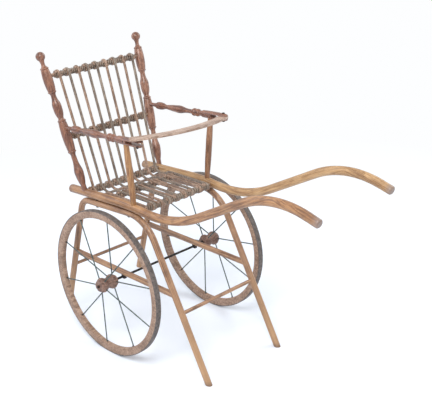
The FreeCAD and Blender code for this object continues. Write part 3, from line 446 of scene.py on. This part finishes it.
class Finishes:
    """Makes each material once and hands it out again."""

    def __init__(self) -> None:
        self.made: dict[str, bpy.types.Material] = {}

    def wood(self, finish: WoodFinish, grain: Grain, fades: Sequence[Fade] = (),
             line: BentLine | None = None) -> bpy.types.Material:
        """Wood with fine and broad streaks along its grain, patches of wear and dark specks.

        Args:
            finish: Colours and scales.
            grain: The direction of the grain.
            fades: Changes of tone along the piece, such as a greyed tip.
            line: The middle line that the grain follows on a bent piece.

        Returns:
            The material.
        """
        name = f"{finish.name}_{grain.name.lower()}"
        if fades:
            name += "_" + "_".join(f"{fade.axis.lower()}{round(fade.full / MM)}" for fade in fades)
        if name in self.made:
            return self.made[name]
        shader = Shader(name)
        broad_mm = finish.grain_mm * BROAD_STREAK
        if line is None:
            streaks = shader.noise(stretched(finish.grain_mm, grain), 6.0, 0.6)
            bands = shader.noise(stretched(broad_mm, grain), 3.0, 0.5)
        else:
            path = shader.along_line(line)
            streaks = shader.noise_at(path, 1 / (finish.grain_mm * MM), 6.0, 0.6)
            bands = shader.noise_at(path, 1 / (broad_mm * MM), 3.0, 0.5)
        patches = shader.noise(uniform(finish.patch_mm), 3.0)
        specks = shader.noise(uniform(SPECK_MM), 2.0, 0.7)
        tones = (linear(tone) for tone in (finish.dark, finish.body, finish.light))
        colour = shader.ramp(streaks, list(zip(STREAK_STOPS, tones)))
        layers = ((bands, DARK_BANDS, finish.dark), (bands, LIGHT_BANDS, finish.light),
                  (patches, LIGHT_WEAR, finish.light), (patches, DARK_PATCHES, finish.dark),
                  (specks, DARK_SPECKS, finish.stain))
        for pattern, span, tone in layers:
            colour = shader.mix(shader.spread(pattern, *span), colour, linear(tone))
        for fade in fades:
            colour = shader.mix(shader.along(fade), colour, linear(fade.tone))
        shader.feed(shader.surface.inputs["Base Color"], colour)
        rough = shader.spread(streaks, finish.roughness - 0.1, finish.roughness + 0.15)
        shader.feed(shader.surface.inputs["Roughness"], rough)
        shader.feed(shader.surface.inputs["Coat Weight"], finish.coat)
        shader.feed(shader.surface.inputs["Coat Roughness"], COAT_ROUGHNESS)
        shader.feed(shader.surface.inputs["Normal"], shader.bump(streaks, finish.bump_mm))
        self.made[name] = shader.material
        return shader.material

    def metal(self, finish: MetalFinish) -> bpy.types.Material:
        """Dull metal with worn, lighter patches.

        Args:
            finish: Colours and scales.

        Returns:
            The material.
        """
        if finish.name in self.made:
            return self.made[finish.name]
        shader = Shader(finish.name)
        patches = shader.noise(uniform(finish.patch_mm), 5.0, 0.65)
        pits = shader.noise(uniform(PIT_MM), 3.0, 0.7)
        tones = (linear(finish.body), linear(finish.worn))
        colour = shader.ramp(patches, list(zip(WORN_STOPS, tones)))
        shader.feed(shader.surface.inputs["Base Color"], colour)
        shader.feed(shader.surface.inputs["Metallic"], finish.metallic)
        rough = shader.spread(pits, finish.roughness - 0.12, finish.roughness + 0.2)
        shader.feed(shader.surface.inputs["Roughness"], rough)
        bump = shader.bump(pits, PIT_BUMP_MM, PIT_BUMP_STRENGTH)
        shader.feed(shader.surface.inputs["Normal"], bump)
        self.made[finish.name] = shader.material
        return shader.material

    def floor(self) -> bpy.types.Material:
        """A pale, matt studio floor that turns into the white surroundings further out."""
        shader = Shader("studio_floor")
        tone = shader.noise(uniform(FLOOR_PATCH_MM), 2.0)
        colour = shader.ramp(tone, [(0.0, linear("EBF2FC")), (1.0, linear("F2F7FF"))])
        shader.feed(shader.surface.inputs["Base Color"], colour)
        shader.feed(shader.surface.inputs["Roughness"], 0.9)
        source = shader.add("ShaderNodeTexCoord")
        away = shader.tree.nodes.new("ShaderNodeVectorMath")
        away.operation = "LENGTH"
        shader.feed(away.inputs[0], source.outputs["Object"])
        outer = shader.spread(away.outputs["Value"], 0.0, 1.0, FLOOR_NEAR, FLOOR_FAR)
        seen = shader.tree.nodes.new("ShaderNodeLightPath").outputs["Is Camera Ray"]
        white = shader.add("ShaderNodeEmission", Color=linear(WHITE), Strength=1.0)
        blend = shader.tree.nodes.new("ShaderNodeMixShader")
        shader.feed(blend.inputs[0], shader.maths("MULTIPLY", outer, seen))
        shader.feed(blend.inputs[1], shader.surface.outputs["BSDF"])
        shader.feed(blend.inputs[2], white.outputs["Emission"])
        output = shader.tree.nodes["Material Output"]
        shader.feed(output.inputs["Surface"], blend.outputs["Shader"])
        return shader.material


FINISHES = Finishes()


def middle_of(node: str) -> Vector:
    """The middle of a CAD node's box.

    Args:
        node: The node's name.

    Returns:
        The middle, in metres.
    """
    low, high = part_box(node)
    return (Vector(low) + Vector(high)) / 2


@dataclass(frozen=True)
class Rail:
    """A round rail along Y, as the frame has it."""

    x: float
    z: float
    radius: float
    reach: float

    @classmethod
    def of(cls, node: str) -> Rail:
        """Reads a rail from the frame.

        Args:
            node: The CAD node's name.

        Returns:
            The rail.
        """
        low, high = (Vector(corner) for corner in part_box(node))
        middle = (low + high) / 2
        return cls(middle.x, middle.z, (high.z - low.z) / 2, (high.y - low.y) / 2)


class MeshPiece:
    """A mesh under construction, which becomes one object of the cart."""

    TUBE_SIDES = 8
    DOME_SEGMENTS = 16
    DOME_RINGS = 10
    # The share of its height that a slotted head keeps in its slot
    SLOT_FLOOR = 0.55

    def __init__(self, name: str, body: str, slot: str, material: bpy.types.Material) -> None:
        self.name = name
        self.body = body
        self.slot = slot
        self.material = material
        self.mesh = bmesh.new()

    def tube(self, points: Sequence[Vector], radius: float) -> None:
        """Sweeps a circle along points and closes its ends.

        Args:
            points: The middle line.
            radius: Radius of the tube.
        """
        rings = []
        last = len(points) - 1
        across = None
        for index, point in enumerate(points):
            before = points[index - 1] if index else point
            after = points[index + 1] if index < last else point
            along = (after - before).normalized()
            if across is None:
                across = along.orthogonal().normalized()
            across = (across - along * across.dot(along)).normalized()
            matrix = Matrix((across, along.cross(across), along)).transposed().to_4x4()
            matrix.translation = point
            made = bmesh.ops.create_circle(self.mesh, segments=self.TUBE_SIDES, radius=radius,
                                           matrix=matrix)
            ring = made["verts"]
            rings.append({edge for vert in ring for edge in vert.link_edges})
        for first, second in zip(rings, rings[1:]):
            bmesh.ops.bridge_loops(self.mesh, edges=list(first | second))
        for ring in (rings[0], rings[-1]):
            bmesh.ops.contextual_create(self.mesh, geom=list(ring))

    def dome(self, centre: Vector, outward: Vector, radius: float, height: float,
             slot_width: float = 0.0) -> None:
        """A round screw or rivet head.

        Args:
            centre: The middle of its foot.
            outward: The way that it faces.
            radius: Its radius.
            height: Its height.
            slot_width: Half the width of a slot across it, or 0 for none.
        """
        turn = outward.to_track_quat("Z", "Y").to_matrix().to_4x4()
        place = Matrix.Translation(centre) @ turn
        squash = Matrix.Diagonal((1.0, 1.0, height / radius, 1.0))
        made = bmesh.ops.create_uvsphere(self.mesh, u_segments=self.DOME_SEGMENTS,
                                         v_segments=self.DOME_RINGS, radius=radius,
                                         matrix=place @ squash)
        if slot_width:
            for vert in made["verts"]:
                local = place.inverted() @ vert.co
                if abs(local.x) < slot_width and local.z > 0:
                    local.z *= self.SLOT_FLOOR
                    vert.co = place @ local

    def finish(self) -> bpy.types.Object:
        """Turns the mesh into an object that rides on its body.

        Returns:
            The object.
        """
        bmesh.ops.recalc_face_normals(self.mesh, faces=self.mesh.faces)
        data = bpy.data.meshes.new(self.name)
        self.mesh.to_mesh(data)
        self.mesh.free()
        data.polygons.foreach_set("use_smooth", [True] * len(data.polygons))
        piece = bpy.data.objects.new(self.name, data)
        bpy.context.scene.collection.objects.link(piece)
        data.materials.append(self.material)
        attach(piece, self.body)
        LOG.info("%s: %d faces", self.name, len(data.polygons))
        return piece


def helix(rail: Rail, start: float, end: float, turns: float, offset: float,
          phase: float) -> list[Vector]:
    """Points of a strand wound round a rail.

    Args:
        rail: The rail that it is wound round.
        start: Where it starts along Y.
        end: Where it ends along Y.
        turns: Full turns between them.
        offset: Distance from the rail's surface to the strand's middle.
        phase: Angle of the start, in radians.

    Returns:
        The points of its middle line.
    """
    steps = max(8, int(turns * STEPS_PER_TURN))
    reach = rail.radius + offset
    points = []
    for step in range(steps + 1):
        share = step / steps
        angle = phase + share * turns * math.tau
        y = start + (end - start) * share
        points.append(Vector((rail.x + math.cos(angle) * reach, y,
                              rail.z + math.sin(angle) * reach)))
    return points


@dataclass(frozen=True)
class BindingSizes:
    """Sizes of the strands that bind the canes to their rails.

    Loops differ from cane to cane: each swing is how far one of their measures comes and goes,
    and its rate, in radians, is how fast it does so from one cane to the next.
    """

    strand: float = 4.1 * MM
    thin_strand: float = 2.4 * MM
    edge_strand: float = 2.9 * MM
    loop_width: float = 18.0 * MM
    loop_turns: float = 1.9
    loop_start: float = 0.6
    lean_swing: float = 0.12
    lean_rate: float = 2.3
    width_swing: float = 0.1
    width_rate: float = 1.7
    start_swing: float = 0.3
    start_rate: float = 1.1
    rope_pitch: float = 17.5 * MM
    edge_pitch: float = 9.0 * MM
    sink: float = 0.5 * MM


class CaneWork:
    """The bindings of the canes round the rails of the back and the seat."""

    # Depth of the ends of a cane that its place is read from, in the back and in the seat
    TOP_ZONE = 5 * MM
    FRONT_ZONE = 20 * MM
    # How far up the back the middle rail is
    MIDDLE_SHARE = 0.48

    def __init__(self, sizes: BindingSizes = BindingSizes()) -> None:
        self.sizes = sizes
        self.tan = FINISHES.wood(RATTAN, Grain.ALONG_Y)
        self.grey = FINISHES.wood(GREY_RATTAN, Grain.ALONG_Y)
        self.lines = sorted(self.cane_line(name) for name in frame["nodes"]
                            if name.startswith("cane_"))

    @staticmethod
    def cane_line(name: str) -> tuple[float, float]:
        """Where one cane is along Y, in the seat and at the top of the back.

        Args:
            name: The cane's CAD node.

        Returns:
            The two places.
        """
        node = frame["nodes"][name]
        points = [node.matrix_world @ vert.co for vert in node.data.vertices]
        top = max(point.z for point in points) - CaneWork.TOP_ZONE
        front = max(point.x for point in points) - CaneWork.FRONT_ZONE
        seat_y = [point.y for point in points if point.x > front]
        top_y = [point.y for point in points if point.z > top]
        return (sum(seat_y) / len(seat_y), sum(top_y) / len(top_y))

    def cane_places(self, share: float) -> list[float]:
        """Where the canes are along Y, at a share of the way from the seat to the top."""
        return [seat + (top - seat) * share for seat, top in self.lines]

    def knuckles(self, name: str, rail: Rail, share: float) -> bpy.types.Object:
        """A short winding at each cane on one rail.

        Args:
            name: The piece's name.
            rail: The rail.
            share: How far up the back it is.

        Returns:
            The piece.
        """
        piece = MeshPiece(name, "cart", "cane", self.tan)
        sizes = self.sizes
        offset = sizes.strand - sizes.sink
        for index, y in enumerate(self.cane_places(share)):
            lean = 0.5 + sizes.lean_swing * math.sin(index * sizes.lean_rate)
            width = sizes.loop_width * (1.0 + sizes.width_swing
                                        * math.cos(index * sizes.width_rate))
            start = sizes.loop_start + sizes.start_swing * math.sin(index * sizes.start_rate)
            points = helix(rail, y - width * lean, y + width * (1 - lean), sizes.loop_turns,
                           offset, start)
            piece.tube(points, sizes.strand)
        return piece.finish()

    def rope(self, name: str, rail: Rail, strand: float, pitch: float,
             phases: Sequence[float]) -> bpy.types.Object:
        """Windings from end to end of a rail.

        Args:
            name: The piece's name.
            rail: The rail that is wound.
            strand: Radius of one strand.
            pitch: Advance in one turn.
            phases: The angle at which each strand starts.

        Returns:
            The piece.
        """
        piece = MeshPiece(name, "cart", "cane", self.grey)
        reach = rail.reach - BARE_RAIL_END
        for phase in phases:
            points = helix(rail, -reach, reach, 2 * reach / pitch, strand - self.sizes.sink, phase)
            piece.tube(points, strand)
        return piece.finish()

    def build(self) -> None:
        """Makes every binding."""
        sizes = self.sizes
        for node, share in (("top_rail", 1.0), ("middle_rail", self.MIDDLE_SHARE),
                            ("lower_back_rail", 0.0), ("seat_middle_rail", 0.0)):
            rail = Rail.of(node)
            self.knuckles(f"{node}_knuckles", rail, share)
            self.rope(f"{node}_winding", rail, sizes.thin_strand, sizes.rope_pitch, (0.0, math.pi))
        edge = Rail.of("seat_front_rail")
        self.knuckles("seat_front_rail_knuckles", edge, 0.0)
        self.rope("seat_front_rail_winding", edge, sizes.edge_strand, sizes.edge_pitch, (0.0,))


class WheelTrim:
    """Spoke nipples on the inside of a rim."""

    NIPPLE_RADIUS = 3.2 * MM
    NIPPLE_HEIGHT = 3.5 * MM
    SEAT_DEPTH = 1.0 * MM
    # Depth of the end of a spoke that its angle is read from, and the least angle between two
    END_ZONE = 8.0 * MM
    LEAST_ANGLE = 0.2

    def __init__(self, side: Side) -> None:
        self.side = side
        self.name = side.name.lower()
        self.centre = middle_of(f"rim_{self.name}")

    def spoke_ends(self) -> tuple[list[float], float]:
        """Angles of the spokes and the radius at which they meet the rim, read from their mesh."""
        node = frame["nodes"][f"spokes_{self.name}"]
        ends = []
        for vert in node.data.vertices:
            offset = node.matrix_world @ vert.co - self.centre
            ends.append((math.hypot(offset.x, offset.z), math.atan2(offset.z, offset.x)))
        reach = max(radius for radius, _ in ends)
        angles = sorted(angle for radius, angle in ends if radius > reach - self.END_ZONE)
        return self.grouped(angles), reach

    @staticmethod
    def grouped(angles: Iterable[float]) -> list[float]:
        """One mean angle for each run of angles that lie close together.

        Args:
            angles: Sorted angles, in radians.

        Returns:
            The mean angles.
        """
        groups: list[list[float]] = []
        for angle in angles:
            if groups and angle - groups[-1][-1] < WheelTrim.LEAST_ANGLE:
                groups[-1].append(angle)
            else:
                groups.append([angle])
        return [sum(group) / len(group) for group in groups]

    def build(self) -> None:
        """Makes the nipples of one wheel."""
        iron = FINISHES.metal(BLACK_IRON)
        body = f"wheel_{self.name}"
        nipples = MeshPiece(f"spoke_nipples_{self.name}", body, "spoke_wire", iron)
        angles, reach = self.spoke_ends()
        for angle in angles:
            radial = Vector((math.cos(angle), 0, math.sin(angle)))
            place = self.centre + radial * (reach - self.SEAT_DEPTH)
            nipples.dome(place, -radial, self.NIPPLE_RADIUS, self.NIPPLE_HEIGHT)
        nipples.finish()


@dataclass(frozen=True)
class ScrewSizes:
    """Radius and height of each kind of screw head, and half the width of its slot."""

    frame: tuple[float, float] = (5.5 * MM, 3.0 * MM)
    fork: tuple[float, float] = (4.6 * MM, 3.0 * MM)
    arm: tuple[float, float] = (3.2 * MM, 1.8 * MM)
    slot_width: float = 1.0 * MM


class Fasteners:
    """Small screws where the pieces are joined."""

    # The leg frame under the ends of its bolts
    LEG_THICKNESS = 22.0 * MM
    # The pin end on a fork: back from the tip, down from the top, and out from the middle as a
    # share of the radius, with the slant that it stands at
    FORK_BACK = 10.0 * MM
    FORK_DROP = 22.5 * MM
    FORK_SHARE = 0.72
    FORK_SLANT = (0.2, -0.5)
    # The screw behind the fork
    ARM_BACK = 75 * MM
    ARM_DROP = 17 * MM
    ARM_SINK = 0.8 * MM

    def __init__(self, sizes: ScrewSizes = ScrewSizes()) -> None:
        self.sizes = sizes
        self.iron = FINISHES.metal(BLACK_IRON)

    def build(self) -> None:
        """Makes the screws of both sides."""
        for side in Side:
            self.frame_screws(side)
            self.arm_screws(side)

    def frame_screws(self, side: Side) -> None:
        """Round heads under the leg frame, where its bolts come through.

        Args:
            side: The side of the cart.
        """
        name = side.name.lower()
        piece = MeshPiece(f"frame_screws_{name}", "cart", "iron", self.iron)
        bolts = frame["nodes"][f"frame_bolts_{name}"]
        points = [bolts.matrix_world @ vert.co for vert in bolts.data.vertices]
        middle_x = (min(point.x for point in points) + max(point.x for point in points)) / 2
        for ends in ([p for p in points if p.x < middle_x], [p for p in points if p.x > middle_x]):
            centre = sum(ends, Vector()) / len(ends)
            centre.z = min(point.z for point in ends) - self.LEG_THICKNESS
            piece.dome(centre, Vector((0, 0, -1)), *self.sizes.frame, self.sizes.slot_width)
        piece.finish()

    def arm_screws(self, side: Side) -> None:
        """A dark pin end low on the fork's tip, and a small screw behind the fork.

        Args:
            side: The side of the cart.
        """
        name = side.name.lower()
        piece = MeshPiece(f"arm_screws_{name}", "cart", "iron", self.iron)
        low, high = (Vector(corner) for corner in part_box(f"arm_{name}"))
        radius = (high.y - low.y) / 2
        middle_y = (high.y + low.y) / 2
        ahead, up = self.FORK_SLANT
        out = Vector((ahead, side.value, up)).normalized()
        tip = Vector((high.x - self.FORK_BACK, middle_y + side.value * radius * self.FORK_SHARE,
                      high.z - self.FORK_DROP))
        piece.dome(tip, out, *self.sizes.fork)
        shank = Vector((high.x - self.ARM_BACK,
                        middle_y + side.value * (radius - self.ARM_SINK),
                        high.z - self.ARM_DROP))
        piece.dome(shank, Vector((0, side.value, 0)), *self.sizes.arm, self.sizes.slot_width)
        piece.finish()


def shaft_finish(finish: WoodFinish, node: str) -> bpy.types.Material:
    """A shaft's wood, greyed by hands at the tip of its grip and by wear at its rear end.

    Args:
        finish: The wood.
        node: The shaft's CAD node.

    Returns:
        The material.
    """
    low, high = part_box(node)
    tip = Fade("X", start=high[0] - 24 * MM, full=high[0] - 6 * MM, tone="84736C", amount=0.75)
    tail = Fade("X", start=low[0] + 40 * MM, full=low[0] + 5 * MM, tone="6B5248", amount=0.6)
    return FINISHES.wood(finish, Grain.ALONG_X, (tip, tail), SHAFT_LINE)


def leg_finish() -> bpy.types.Material:
    """The leg frames' wood, with painted light: paler towards the floor and darker up under the
    seat, where shade falls, and with dark scuffed feet.

    Returns:
        The material.
    """
    # Painted light: paler from 340 mm down to 80 mm, so the upper leg under the seat looks shaded.
    painted_light_low_leg = Fade("Z", start=340 * MM, full=80 * MM, tone="BB946C", amount=0.5)
    scuffed = Fade("Z", start=16 * MM, full=3 * MM, tone="5E4A3E", amount=0.7)
    return FINISHES.wood(LEG_HICKORY, Grain.ALONG_Z, (painted_light_low_leg, scuffed), LEG_LINE)


def dress_nodes() -> None:
    """Gives every CAD node its material: the first rule that its name starts with holds."""
    tan_cane = FINISHES.wood(RATTAN, Grain.ALONG_Z)
    grey_cane = FINISHES.wood(GREY_RATTAN, Grain.ALONG_Z)
    iron = FINISHES.metal(BLACK_IRON)
    rules = [
        (("cane_2", "cane_4", "cane_5", "cane_7", "cane_9"), grey_cane),
        (("cane_",), tan_cane),
        (("seat_infill",), FINISHES.wood(RATTAN, Grain.ALONG_X)),
        (("tyre",), FINISHES.metal(TYRE_IRON)),
        (("rim",), FINISHES.wood(RIM_ASH, Grain.ALONG_Y)),
        (("hub",), FINISHES.wood(HUB_ELM, Grain.ALONG_Y)),
        (("spokes",), FINISHES.metal(SPOKE_STEEL)),
        (("axle_nut",), FINISHES.metal(RUSTY_IRON)),
        (("axle", "frame_bolts", "guard_bar_pin"), iron),
        (("shaft_right",), shaft_finish(BENT_HICKORY, "shaft_right")),
        # Far shaft: the paler copy of the same hickory, painted light.
        (("shaft_left",), shaft_finish(FAR_SIDE_LIT_HICKORY, "shaft_left")),
        (("side_rail",), FINISHES.wood(LEG_HICKORY, Grain.ALONG_X)),
        (("leg_frame",), leg_finish()),
        (("front_stretcher", "rear_stretcher"), FINISHES.wood(LEG_HICKORY, Grain.ALONG_Y)),
        (("guard_bar",), FINISHES.wood(GUARD_ASH, Grain.ALONG_Y)),
        (("arm_post_right",), FINISHES.wood(POST_BIRCH, Grain.ALONG_Z)),
        (("arm_post_left",), FINISHES.wood(RED_BIRCH, Grain.ALONG_Z)),
        (("stile_right",), FINISHES.wood(TURNED_MAPLE, Grain.ALONG_Z)),
        # Far stile: the lighter copy of the same maple, painted light.
        (("stile_left",), FINISHES.wood(FAR_SIDE_LIT_MAPLE, Grain.ALONG_Z)),
        (("arm",), FINISHES.wood(TURNED_MAPLE, Grain.ALONG_X)),
        (("",), FINISHES.wood(RATTAN, Grain.ALONG_Y)),
    ]
    for name, node in frame["nodes"].items():
        material = next(value for starts, value in rules if name.startswith(starts))
        for slot in node.material_slots:
            slot.material = material


@dataclass(frozen=True)
class CameraPose:
    """Where the camera stands and what it looks at: a point ahead of the axle and above it.

    Angles are in degrees, lens and sensor in millimetres, the rest in metres.
    """

    ahead: float = 0.2742
    above: float = 0.2841
    azimuth: float = 44.49
    elevation: float = 22.13
    roll: float = -0.64
    distance: float = 3.085
    lens: float = 80.58
    sensor: float = 36.0
    clip_end: float = 50.0
    width: int = 1296
    height: int = 1230

    def build(self) -> None:
        """Makes the scene's camera."""
        azimuth = math.radians(self.azimuth)
        elevation = math.radians(self.elevation)
        back = Vector((math.sin(azimuth) * math.cos(elevation),
                       -math.cos(azimuth) * math.cos(elevation), math.sin(elevation)))
        data = bpy.data.cameras.new("camera")
        data.lens = self.lens
        data.sensor_width = self.sensor
        data.clip_end = self.clip_end
        camera = bpy.data.objects.new("camera", data)
        roll = Matrix.Rotation(math.radians(self.roll), 4, "Z")
        turn = back.to_track_quat("Z", "Y").to_matrix().to_4x4() @ roll
        target = middle_of("axle") + Vector((self.ahead, 0, self.above))
        camera.matrix_world = Matrix.Translation(target + back * self.distance) @ turn
        scene = bpy.context.scene
        scene.collection.objects.link(camera)
        scene.camera = camera
        scene.render.resolution_x = self.width
        scene.render.resolution_y = self.height


@dataclass(frozen=True)
class Lamp:
    """One square studio lamp, aimed at a height over the middle of the floor."""

    name: str
    place: tuple[float, float, float]
    size: float
    power: float
    colour: str = "FFFFFF"
    aim_height: float = 0.45

    def build(self) -> None:
        """Makes the lamp."""
        data = bpy.data.lights.new(self.name, "AREA")
        data.shape = "SQUARE"
        data.size = self.size
        data.energy = self.power
        data.color = linear(self.colour)[:3]
        lamp = bpy.data.objects.new(self.name, data)
        aim = (Vector(self.place) - Vector((0, 0, self.aim_height))).to_track_quat("Z", "Y")
        lamp.matrix_world = Matrix.Translation(self.place) @ aim.to_matrix().to_4x4()
        bpy.context.scene.collection.objects.link(lamp)


class Studio:
    """Pale floor, white surroundings and soft lamps."""

    # Strength of the surroundings as a light; what the camera sees of them is 1
    SOFT_LIGHT = 0.72
    LAMPS = (
        Lamp("key", (1.4, -2.4, 3.6), 1.8, 125.0),
        Lamp("fill", (-2.8, -1.6, 2.2), 2.6, 30.0, "EAF1FF"),
        Lamp("rim", (0.5, 3.0, 2.8), 2.2, 45.0),
    )

    def build(self) -> None:
        """Makes the floor, the surroundings and the lamps."""
        piece = bmesh.new()
        bmesh.ops.create_grid(piece, x_segments=2, y_segments=2, size=FLOOR_REACH)
        data = bpy.data.meshes.new("floor")
        piece.to_mesh(data)
        piece.free()
        data.materials.append(FINISHES.floor())
        floor = bpy.data.objects.new("floor", data)
        bpy.context.scene.collection.objects.link(floor)
        self.surroundings()
        for lamp in self.LAMPS:
            lamp.build()
        scene = bpy.context.scene
        scene.view_settings.view_transform = "Standard"
        scene.view_settings.look = "None"

    def surroundings(self) -> None:
        """A world that looks white, also in gloss, but lights the cart more softly than that."""
        world = bpy.data.worlds.new("studio")
        world.use_nodes = True
        tree = world.node_tree
        background = tree.nodes["Background"]
        background.inputs["Color"].default_value = linear(WHITE)
        rays = tree.nodes.new("ShaderNodeLightPath")
        seen = tree.nodes.new("ShaderNodeMath")
        seen.operation = "MAXIMUM"
        tree.links.new(rays.outputs["Is Camera Ray"], seen.inputs[0])
        tree.links.new(rays.outputs["Is Glossy Ray"], seen.inputs[1])
        strength = tree.nodes.new("ShaderNodeMapRange")
        strength.inputs["To Min"].default_value = self.SOFT_LIGHT
        strength.inputs["To Max"].default_value = 1.0
        tree.links.new(seen.outputs[0], strength.inputs["Value"])
        tree.links.new(strength.outputs["Result"], background.inputs["Strength"])
        bpy.context.scene.world = world


def main() -> None:
    """Builds the whole scene on the loaded frame."""
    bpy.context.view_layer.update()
    CameraPose().build()
    Studio().build()
    dress_nodes()
    CaneWork().build()
    for side in Side:
        WheelTrim(side).build()
    Fasteners().build()


if __name__ == "__main__":
    main()
